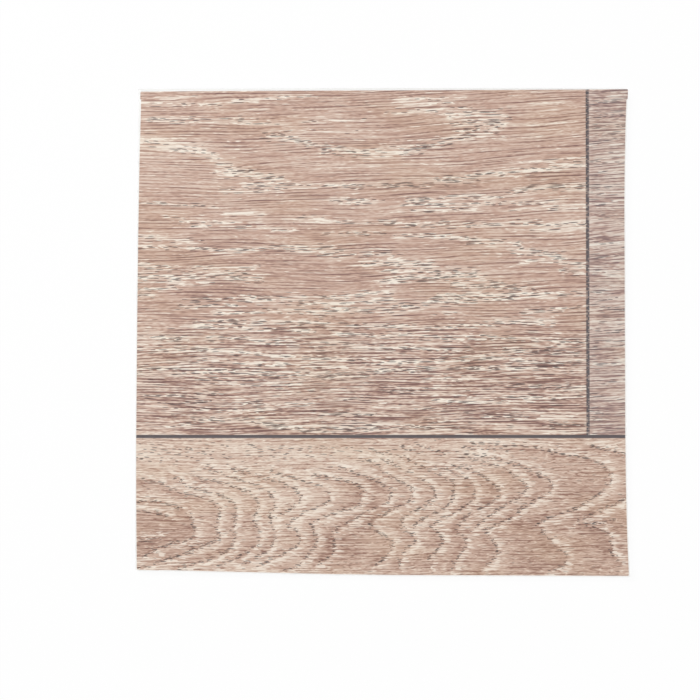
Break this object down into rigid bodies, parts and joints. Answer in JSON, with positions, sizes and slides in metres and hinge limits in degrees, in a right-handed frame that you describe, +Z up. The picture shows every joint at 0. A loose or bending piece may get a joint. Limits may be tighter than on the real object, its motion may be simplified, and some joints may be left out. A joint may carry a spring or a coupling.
{
  "type": "vinyl flooring sheet sample",
  "caption": "Flat near-square sample of cushioned sheet vinyl flooring, hand cut, with pressed plank joints in its wood-effect printed face.",
  "frame": {"origin": "under the middle of the sheet's overall length and width, on the surface that it lies on", "axes": "+X along the printed wood grain and the long joint, towards the end joint; +Y across the grain, away from the long joint; +Z up, out of the printed face"},
  "size_m": [0.1998, 0.1974, 0.0028],
  "materials": {
    "printed_vinyl": "satin"
  },
  "bodies": {
    "root": {"vinyl_sheet": "printed_vinyl"}
  },
  "joints": []
}
